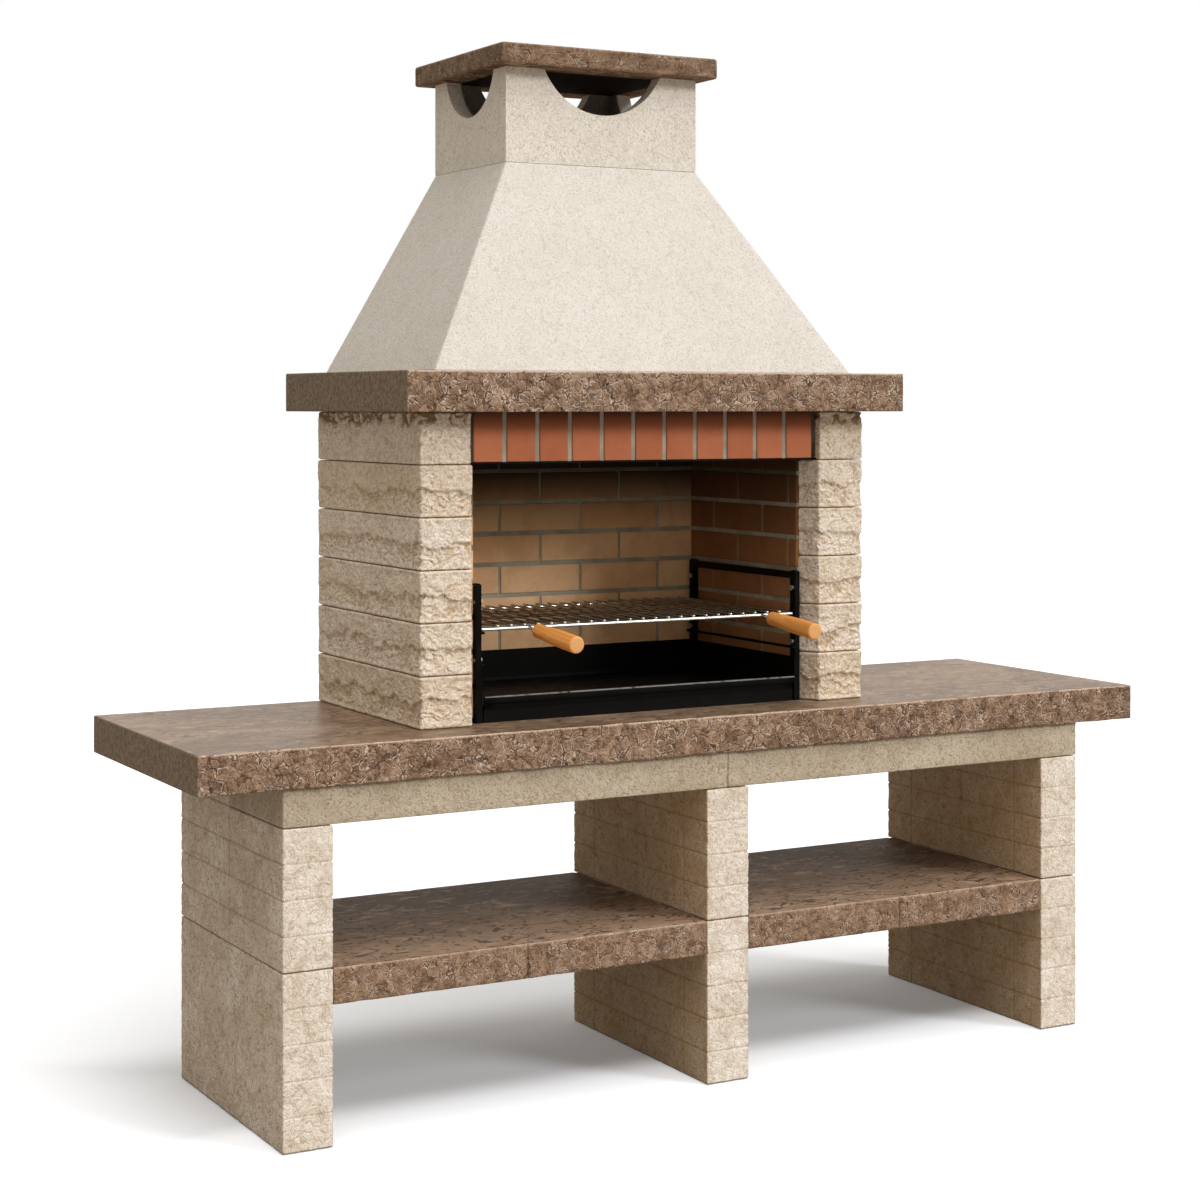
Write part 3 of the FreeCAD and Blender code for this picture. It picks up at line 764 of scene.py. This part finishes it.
# The cap: weathered, with painted shade underneath inside the chimney's neck.
weathered_and_shaded = neck_shaded(brown_stone("neck_shaded_stone", 0.1, 0.023, weather=0.06), cap_seat + 0.006, 0.95)
piece("cap_slab", [skin(cap, 0.005, 0.005, (0.004, 0.004, 0.012, 0.004), 0.0035,
                        hewn_relief(31, 0.12, 0.12, 0.12, shown=0.4))],
      weathered_and_shaded, ["chimney_cap"], "brown_concrete")

# %% [markdown]
# ## Scored piers and beams
# The piers are cast blocks whose moulds carry the lines of brick courses. The fronts are tooled to
# a fine worm-like grain, the sides are left as they came from the mould. The scored lines are part
# of the skin: the grid gets extra rows and columns where a line runs, so the groove stays crisp.

# %% Cream finishes
def cream_cast(name, pale, deep, stain, tracks, mottle, size=0.022):
    """Cast concrete: drifting cream, patches, and worm tracks in noise of this size and half of it.

    Moulded sides are cloudier and grooves dirty. A painted contact shadow darkens the foot, and
    painted shade makes the bays' faces darker and yellower, with light bounced off the brown slabs.
    """
    material, shader, place = new_finish(name)
    rough = place.field("rough")
    worm, thread = place.curls(size, 3.5, 1.4, 2.0), place.curls(size / 2, 3.0, 1.4, 1.5)
    fine = place.grain(0.003, 3.0, 0.65)
    patch = place.grain(0.05, 5.0, 0.7, 0.8).between(0.42, 0.68)
    cloudy = place.grain(0.14, 4.0, 0.65).between(0.36, 0.64) * 0.7 + 0.05
    track = (worm.lines(0.12) + thread.lines(0.12) * 0.7) * (tracks * (1.5 - rough * 0.5))
    # A painted contact shadow along the lowest few millimetres; the bays' faces get painted shade.
    foot = (0.006 - place.part(2)).between(0.0, 0.003)
    colour = coats(place.grain(0.18, 4.0, 0.6).between(0.3, 0.7).mix(deep, pale),
                   (patch * mottle, stain), ((1 - rough) * cloudy * mottle, stain), (track, stain),
                   (fine.between(0.52, 0.72) * 0.4, stain),
                   (place.field("groove") * (0.6 - rough * 0.35), stain),
                   (foot * 0.75, (70, 56, 42)), (place.field("inner") * 0.41, (172, 127, 44)))
    feed(shader, colour, 0.92, (worm + thread * 0.5) * (0.25 + tracks) + fine * 0.5, 0.5, 0.002)
    return material


# %% Piers
SCORE_DEPTH, SCORE_WIDTH = 0.0022, 0.0017


def scored_relief(seed, bands, band_sides, uprights, upright_sides, tooled=1.0, meet=()):
    """Notches along level and upright lines, less deep on a tooled front than on moulded faces."""
    def relief(points, looks, up):
        front, side = facing(looks, 1, -1), {way: facing(looks, 0, way) for way in (-1, 1)}
        share = looks[..., 1] ** 2 + sum(side[s] for s in band_sides)
        wander = 0.0012 * (cloud(points, 0.03, seed + 3) - 0.5)
        y, z = points[..., 1], points[..., 2]
        groove = sum((notch(z + wander - at, SCORE_WIDTH) for at in bands), 0.0) * share
        for s in upright_sides:
            groove = groove + side[s] * sum(notch(y + wander - at, SCORE_WIDTH) for at in uprights)
        for at in meet:
            groove = groove + looks[..., 0] ** 2 * notch(y - at, SCORE_WIDTH)
        groove = np.clip(groove, 0, 1)
        track = ridges(bent(points, 0.02, 0.008, seed), 0.04, 6.0, seed)
        worn_and_lit = ease(np.minimum(up, 1 - up), 0.03, 0.0)
        chip = ease(cloud(points, 0.025, seed + 4), 0.68, 0.95) * worn_and_lit
        score = SCORE_DEPTH * (1 - 0.45 * front * tooled) * groove
        depth = (0.0008 + 0.0004 * front * tooled) * (1 - track) + score + 0.002 * chip
        # Faces that look into the bays, on which the finish paints shade.
        inner = sum((side[s] for s in upright_sides), 0.0)
        return depth, {"rough": front * tooled, "groove": groove, "inner": inner}
    return relief


COURSE, UPRIGHT_LINE = 0.073, 0.104
bay = {"left": (1,), "centre": (-1, 1), "right": (-1,)}
tooled_cream = cream_cast("tooled_cream", (248, 240, 230), (239, 228, 215),
                          (170, 142, 104), 0.42, 0.38)
pier_front, pier_back = (corner[1] for corner in box_of("left_pier_lower"))
scored = pier_front + UPRIGHT_LINE, pier_back - UPRIGHT_LINE
for name, bays in bay.items():
    for part in ("lower", "front", "rear"):
        node = f"{name}_pier_{part}"
        low, high = box_of(node)
        bands = [z for z in low[2] + COURSE * np.arange(1, 6) if z < high[2] - COURSE / 2]
        uprights = [y for y in scored if low[1] < y < high[1]]
        middle = (low + high)[1] / 2
        lines = {way: [y - middle for y in uprights] if way in bays else () for way in (-1, 1)}
        meet = {"lower": (), "front": (high[1],), "rear": (low[1],)}[part]
        relief = scored_relief(sum(map(ord, node)), bands, bays if part == "lower" else (-1, 1),
                               uprights, bays, 0.0 if part == "rear" else 1.0, meet)
        grid = skin((low, high), 0.003, 0.0022, (0.0035, 0.009, 0.012, 0.009), 0.004, relief,
                    ((), lines[1], (), lines[-1]), [z - low[2] for z in bands], slot=2 * SEAT)
        piece(node + "_block", [grid], tooled_cream, [node], "cream_concrete")

# %% Beams
smooth_cream = cream_cast("smooth_cream", (212, 199, 180), (197, 183, 162),
                          (150, 130, 104), 0.4, 0.25)
for side in ("left", "right"):
    node = side + "_beam"
    grid = skin(box_of(node), 0.003, 0.0025, (0.02, 0.02, 0.03, 0.02), 0.01,
                scored_relief(len(node), (), (), (), (), 0.0), slot=SEAT)
    piece(node + "_cast", [grid], smooth_cream, [node], "cream_concrete")

# %% [markdown]
# ## Hood and chimney collar
# The hood is a hollow cast pyramid. Its skin is the same outline carried up while it shrinks, then
# back down inside, so one looped grid makes both faces and both rims. The collar, with its
# half-moon outlets, keeps its solid: only its finish is new.

# %% Hood
HOOD_WALL, HOOD_LIP, HOOD_CORNER = 0.045, 0.003, 0.005


def hood_skin():
    """The outline at each height: half and middle run straight from foot to lip to neck."""
    (low, high), (neck_low, neck_high) = box_of("hood"), box_of("chimney_collar")
    seat, top = low[2], high[2]
    lip = seat + HOOD_LIP
    _, inner, looks = outline(rectangle(low, high), HOOD_CORNER, (0.015, 0.015, 0.03, 0.015))
    rise = np.r_[seat, lip - SEAT, lip, lip + SEAT, np.linspace(lip + 0.01, top - 0.004, 45),
                 top - 0.001]
    heights = np.r_[rise, top, np.linspace(top - 0.02, seat, 12)]
    inside = np.arange(len(heights)) >= len(rise)
    start = np.where(inside, seat, lip)
    share = np.clip((heights - start) / (top - start), 0, 1)
    thick = np.where(inside, HOOD_WALL + (NECK_WALL - HOOD_WALL) * share, 0.0)
    foot, neck = np.r_[low[:2], high[:2]], np.r_[neck_low[:2], neck_high[:2]]
    rim = foot + (neck - foot) * share[:, None]
    middle, half = (rim[:, :2] + rim[:, 2:]) / 2, (rim[:, 2:] - rim[:, :2]) / 2 - thick[:, None]
    plan = middle[:, None] + inner[None] * (half[:, None] - HOOD_CORNER) + HOOD_CORNER * looks[None]
    points = np.dstack([plan, np.broadcast_to(heights[:, None], plan.shape[:2])])
    outside = ((heights > lip + 0.01) & ~inside)[:, None]
    swell = 0.0008 * (layers(points, 0.12, 2, 71) - 0.5) * outside
    points[..., :2] += looks * swell[..., None]
    return {"points": points, "fields": {}, "loop": True,
            "flat_rows": [0, 1, 2, 3, len(rise) - 1, -1]}


render_cream = cream_cast("render_cream", (230, 225, 219), (226, 221, 214),
                          (178, 164, 144), 0.26, 0.06, 0.015)
piece("hood_shell", [hood_skin()], render_cream, ["hood"], "cream_concrete")
collar_cream = cream_cast("neck_shaded_cream", (244, 238, 230), (240, 233, 224),
                          (178, 164, 144), 0.3, 0.08, 0.017)
# The collar's faces inside the neck get painted shade.
dress(neck_shaded(collar_cream, cap_seat + 0.01, 0.7), "chimney_collar")
dress(smooth_cream, "rear_panel")

# %% [markdown]
# ## Bricks and mortar
# The soldier course is smooth terracotta, the lining is tan firebrick. Each brick is its own small
# skin with soft edges, read from the solids so that the bond is the same. A tone field makes every
# brick a little different, as a kiln does.

# %% Brick finishes
FIREBOX_FRONT, END_JOINT = -0.19, 0.011


def fired_clay(name, pale, deep, dark, top_shade):
    """Clay: a tone for each brick, sand, burns, and painted shade (start, end, share) upwards."""
    material, shader, place = new_finish(name)
    sand = place.grain(0.003, 4.0, 0.65)
    burn = place.grain(0.07, 4.0, 0.6, 0.6).between(0.42, 0.72)
    # Painted shade, darker towards the top between the start and end heights.
    start, end, share = top_shade
    colour = coats(place.field("tone").mix(deep, pale), (burn * 0.2, dark),
                   (sand.between(0.52, 0.75) * 0.3, dark),
                   (place.part(2).between(start, end) * share, (38, 24, 14)))
    feed(shader, colour, 0.88, sand, 0.35, 0.0008)
    return material


def grey_mortar():
    """Struck mortar: greenish grey with sand grains and damp patches.

    Shade is painted on at the firebox's top, and the joints at the two ends of the soldier course
    are painted dark as shadow.
    """
    material, shader, place = new_finish("grey_mortar")
    sand, damp = place.grain(0.0025, 3.0, 0.7), place.grain(0.06, 3.0).between(0.35, 0.65)
    inside = (place.part(1) - FIREBOX_FRONT).between(0.0, 0.01)
    low, high = box_of("lintel_mortar")
    middle, last = (low[0] + high[0]) / 2, (high[0] - low[0]) / 2 - END_JOINT
    # Painted shadow in the joints at the two ends of the soldier course.
    ends = abs(place.part(0) - middle).between(last - 0.0005, last + 0.0005) * (1 - inside)
    # Painted shade at the top of the firebox.
    top_shade = place.part(2).between(1.22, 1.4) * inside
    colour = coats(damp.mix((158, 155, 140), (182, 178, 163)),
                   (sand.between(0.5, 0.72) * 0.5, (98, 95, 84)),
                   (ends * 0.9, (58, 44, 32)), (top_shade * 0.9, (38, 26, 16)))
    feed(shader, colour, 0.95, sand, 0.5, 0.001)
    return material


# %% Bricks
def brick_relief(seed):
    """A nearly flat face with shallow lumps and worn edges, and one tone for the whole brick."""
    def relief(points, looks, up):
        near_edge = ease(np.minimum(up, 1 - up), 0.12, 0.0)
        wear_and_highlight = ease(cloud(points, 0.02, seed + 1), 0.6, 0.95) * near_edge
        depth = 0.0005 * layers(points, 0.03, 2, seed) + 0.0012 * wear_and_highlight
        return depth, {"tone": cloud(points * 0 + seed * 0.37, 0.11, seed)}
    return relief


# The lintel's top is painted dark as the mantel's shadow, the lining's top as shade in the firebox.
terracotta = fired_clay("terracotta", (200, 124, 90), (184, 107, 73), (146, 84, 56),
                        (1.44, 1.5, 0.8))
firebrick = fired_clay("firebrick", (255, 214, 168), (236, 183, 134), (140, 96, 60),
                       (1.17, 1.36, 0.985))
# A darker firebrick: painted shade on the right lining, which faces away from the key lamp.
shaded_brick = fired_clay("shaded_brick", (170, 122, 80), (148, 98, 60), (108, 68, 40),
                          (1.1, 1.4, 0.85))
mortar = grey_mortar()
courses = {"lintel": (terracotta, "lintel_brick"), "back_lining": (firebrick, "lining_brick"),
           "left_lining": (firebrick, "lining_brick"),
           "right_lining": (shaded_brick, "lining_brick")}
for wall, (finish, slot) in courses.items():
    node = wall + "_bricks"
    grids = [skin(box, 0.0022, 0.0022, (0.009,) * 4, 0.009, brick_relief(n * 7 + len(wall)))
             for n, box in enumerate(solids_of(node))]
    piece(wall + "_brickwork", grids, finish, [node], slot)
dress(mortar, *(wall + "_mortar" for wall in courses))

# %% [markdown]
# ## Steel
# The rack, ember guard and tray are flat bar and folded sheet in black heat paint: almost black,
# with a low sheen, and a painted highlight of bare-metal grey along the tray's rolled lip. The
# grill is drawn wire: each bar is a ring carried along a line, with domed ends where the wire was
# cropped and tumbled, and a painted highlight at its tips.

# %% Steel finishes
def black_paint():
    """Heat paint, near black, greyer where dusty; a painted highlight where its field says so."""
    material, shader, place = new_finish("black_paint", 0.07)
    dust = place.grain(0.05, 4.0, 0.6).between(0.4, 0.75)
    # A painted highlight, bare-steel grey, along the rolled lip.
    wear_and_highlight = place.field("wear_and_highlight") * place.grain(0.02, 4.0, 0.6).between(0.25, 0.5)
    colour = coats((5, 5, 4), (dust * 0.5, (15, 14, 13)), (wear_and_highlight, (138, 137, 134)))
    feed(shader, colour, 0.4 + dust * 0.15, place.grain(0.0022, 2.0), 0.12, 0.0004)
    return material


def bright_metal(name, colour, dull, gloss):
    """Plated or drawn metal, dulled in patches, with painted highlights where the tip field is 1.
    """
    material, shader, place = new_finish(name, 0.5)
    shader.inputs["Metallic"].default_value = 1.0
    patch = place.grain(0.03, 3.0).between(0.4, 0.7)
    # The tips' near white is a painted highlight.
    colour = coats(colour, (patch, dull), (place.field("tip"), (232, 230, 226)))
    feed(shader, colour, gloss + patch * 0.12)
    return material


# %% Rack and tray
SHEET, LIP, RIM, FOLD, ROLL = 0.002, 0.015, 0.008, 0.0007, 0.0035


def swept(corners, radii, x0, x1, worn_and_lit=lambda base, looks: 0.0):
    """A sheet's cross-section, corners as (y, z) anticlockwise from the right, carried along x."""
    base, _, looks = outline(corners, radii, (0.05,) * len(corners))
    x = np.linspace(x0, x1, 25)[:, None]
    points = np.stack(np.broadcast_arrays(x, base[:, 0], base[:, 1]), -1)
    return {"points": points, "fields": {"wear_and_highlight": worn_and_lit(base, looks)}, "loop": False, "flat_rows": []}


def tray_grids():
    """Lip, front, floor and back rim as one folded sheet with a rolled lip, and two side rims."""
    (left, tip, under), (right, back, top) = box_of("tray_pan")
    front, floor, lip = box_of("tray_skirt")[0][1], under + SHEET, top - LIP
    rim = floor + RIM
    fold = [(tip, lip), (tip + SHEET, lip), (tip + SHEET, top - SHEET), (front, top - SHEET),
            (front, under), (back, under), (back, rim), (back - SHEET, rim), (back - SHEET, floor),
            (front + SHEET, floor), (front + SHEET, top), (tip, top)]
    radii = [FOLD, FOLD, -FOLD, -FOLD, FOLD, FOLD, FOLD, FOLD, -FOLD, -FOLD, FOLD, ROLL]

    def worn_and_lit(base, looks):
        """The rolled lip's upper front quarter, where a highlight is painted."""
        return ease(-2 * looks[:, 0] * looks[:, 1], 0.35, 0.9) * (base[:, 1] > top - 0.005)

    wall = [(front, under), (back, under), (back, rim), (front, rim)]
    sides = [swept(wall, FOLD, x, x + SHEET) for x in (left, right - SHEET)]
    return [swept(fold, radii, left, right, worn_and_lit)] + sides


paint = black_paint()
dress(paint, "left_front_upright", "right_front_upright", "left_rear_upright", "right_rear_upright",
      "left_rails", "right_rails", "ember_guard", "tray_skirt", "lintel_angle")
piece("tray_sheet", tray_grids(), paint, ["tray_pan"], "black_steel", "charcoal_tray")
dress(bright_metal("zinc_plate", (200, 200, 198), (150, 150, 148), 0.3), "rack_bolts")

# %% Grill wire
def turned(start, axis, across, up, a, r, sides):
    """Rings about a line: P = start + a axis + r (cos t across + sin t up)."""
    t = np.linspace(0, 2 * math.pi, sides, endpoint=False)[:, None]
    ring = np.cos(t) * across + np.sin(t) * up
    return start + a[:, None, None] * axis + r[:, None, None] * ring


def bar(start, end, radius, sides=12, dome=0.6, bright=0.009):
    """A round bar with an ellipse's quarter at each end, and tips marked for a painted highlight.
    """
    start, end = np.array(start, float), np.array(end, float)
    length = np.linalg.norm(end - start)
    axis = (end - start) / length
    across = np.cross((0.0, 0.0, 1.0), axis)
    across /= np.linalg.norm(across)
    turn = np.linspace(0.3, math.pi / 2, 4)
    tip = dome * radius * (1 - np.cos(turn))
    near = np.r_[tip, bright, bright + 0.001]
    a = np.r_[near, length / 2, length - near[::-1]]
    inward = np.minimum(a, length - a)
    r = radius * np.interp(inward, tip, np.sin(turn))
    points = turned(start, axis, across, np.cross(axis, across), a, r, sides)
    return {"points": points, "fields": {"tip": (inward <= bright)[:, None]}, "loop": False,
            "flat_rows": []}


def lengthwise(node, axis):
    """A bar for each solid of a node, along axis 0 or 1 of its box."""
    grids = []
    for low, high in solids_of(node):
        start, end = (low + high) / 2, (low + high) / 2
        start[axis], end[axis] = low[axis], high[axis]
        grids.append(bar(start, end, (high - low)[2] / 2))
    return grids


BAR, SIDE, PAST_SIDE, PAST_BAR = 0.004, 0.0035, 0.006, 0.007
TANG, DROOP = 0.1, math.radians(5)


def frame_grids():
    """Front and back bars, side bars, and a tang that runs down into each grip."""
    low, high = box_of("grill_frame")
    rods = np.array(solids_of("grill_rods"))
    front, back = rods[:, 0, 1].min() + PAST_BAR, rods[:, 1, 1].max() - PAST_BAR
    z = high[2] - BAR
    grids = [bar((low[0], y, z), (high[0], y, z), BAR, 20) for y in (front, back)]
    grids += [bar((x, front, z), (x, back, z), SIDE, 16)
              for x in (low[0] + PAST_SIDE, high[0] - PAST_SIDE)]
    reach = TANG * np.array([0, math.cos(DROOP), math.sin(DROOP)])
    for side in ("left", "right"):
        start = np.array([np.mean(box_of(side + "_handle_grip"), 0)[0], front, z])
        grids.append(bar(start, start - reach, SIDE, 16))
    return grids


chrome = bright_metal("chrome_plate", (236, 236, 234), (214, 212, 208), 0.3)
drawn = bright_metal("drawn_wire", (180, 170, 158), (146, 136, 124), 0.42)
burnt = bright_metal("burnt_wire", (70, 60, 50), (52, 44, 37), 0.5)
for name, grids, finish, node in (
        ("grill_frame_wire", frame_grids(), chrome, "grill_frame"),
        ("grill_rod_wire", lengthwise("grill_rods", 1), drawn, "grill_rods"),
        ("grill_cross_wire", lengthwise("grill_cross_bars", 0), burnt, "grill_cross_bars")):
    piece(name, grids, finish, [node], "chrome", "cooking_grill")

# %% [markdown]
# ## Wooden handles
# Two turned beech grips on the grill's tangs. A turned piece is a profile carried round an axis.
# The grain follows that axis, so each point carries its own place in the blank: along, across, up.

# %% Wood finish
def turned_wood():
    """Long grain streaks along the axis and year rings round an off-centre pith."""
    material, shader, place = new_finish("turned_wood", 0.5)
    blank = place.field("blank", 1)
    wave = blank.stretched(0.03).grain(0.02, 3.0, 0.5)
    pores = blank.stretched(0.05).grain(0.0016, 2.0)
    rings = blank.node("TexWave", {"Vector": blank.stretched(0.02), "Scale": 90.0,
                                   "Distortion": 1.2, "Detail": 2.0},
                       wave_type="RINGS", rings_direction="X")
    cut = rings.between(0.2, 0.9).mix((246, 192, 128), (214, 146, 82))
    colour = coats(wave.between(0.3, 0.7).mix((236, 150, 66), (252, 182, 98)),
                   (rings.between(0.3, 1.0) * 0.4, (206, 126, 54)),
                   (pores.between(0.58, 0.72) * 0.4, (178, 104, 42)), (place.field("cut"), cut))
    feed(shader, colour, 0.42 + pores * 0.15, pores, 0.12, 0.0004)
    return material


# %% Handles
GRIP, EDGE, SLIM, SWELL = 0.18, 0.004, 0.0158, 0.0027
BORE, HEART, PITH = 0.0036, 0.008, 0.001


def grip_skin(node):
    """A grip turned round its drooping axis, swelling to the free end, and each point's blank."""
    low, high = box_of(node)
    across, axis = np.array([1.0, 0, 0]), np.array([0, -math.cos(DROOP), -math.sin(DROOP)])
    up = np.cross(across, -axis)
    start = (low + high) / 2 - GRIP / 2 * axis
    turn = np.linspace(0, math.pi / 2, 7)
    a = np.r_[0, EDGE * (1 - np.cos(turn)), np.linspace(0.01, 0.17, 24),
              GRIP - EDGE + EDGE * np.sin(turn), GRIP, GRIP]
    r = SLIM + SWELL * ease(a, 0.0, 0.12)
    r[1:8] -= EDGE * (1 - np.sin(turn))
    r[-9:-2] -= EDGE * (1 - np.cos(turn))
    r[[0, -2, -1]] = BORE, HEART, PITH
    points, blank = (turned(*line, a, r, 40)[:, ::-1] for line in (
        (start, axis, across, up), (np.zeros(3), *np.eye(3))))
    return {"points": points, "fields": {"cut": (a > GRIP - 0.0005)[:, None]}, "loop": False}, blank


wood = turned_wood()
for side, pith in (("left", (0.004, 0.006)), ("right", (-0.006, 0.005))):
    node = side + "_handle_grip"
    grid, blank = grip_skin(node)
    grip = piece(side + "_turned_grip", [grid], wood, [node], "wood", "cooking_grill")
    shifted = (blank + (0.3 * len(side), *pith)).astype(np.float32)
    holder = grip.data.attributes.new("blank", "FLOAT_VECTOR", "POINT")
    holder.data.foreach_set("vector", shifted.ravel())
